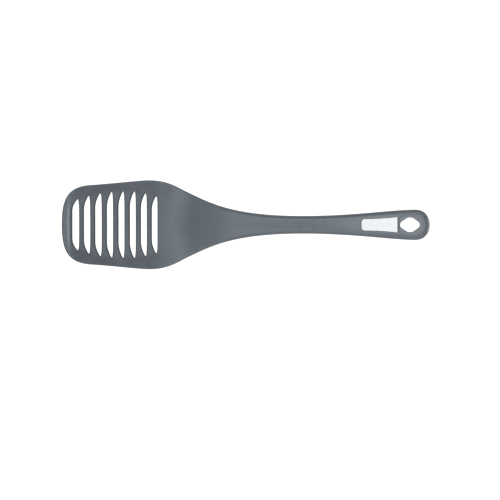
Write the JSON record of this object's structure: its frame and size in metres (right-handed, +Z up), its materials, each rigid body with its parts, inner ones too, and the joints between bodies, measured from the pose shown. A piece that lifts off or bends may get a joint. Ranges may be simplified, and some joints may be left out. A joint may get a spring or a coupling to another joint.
{
  "type": "slotted turner",
  "caption": "Long one-piece plastic turner with a wide slotted blade, waisted neck, rising oval handle, inlaid label plate and a diamond-shaped hang hole",
  "frame": {"origin": "on the flat underside of the blade, at the middle of the bar between the fourth and the fifth slot", "axes": "+X from the blade towards the handle, +Y across the blade, +Z up out of the blade's upper side"},
  "size_m": [0.3403, 0.083, 0.0516],
  "materials": {
    "slate_nylon": "fine-grained moulded nylon with a soft sheen",
    "label_white": "satin white plastic plate",
    "clear_film": "thin translucent adhesive film"
  },
  "bodies": {
    "root": {"spatula_body": "slate_nylon", "handle_badge": "label_white", "badge_adhesive": "clear_film"}
  },
  "joints": []
}
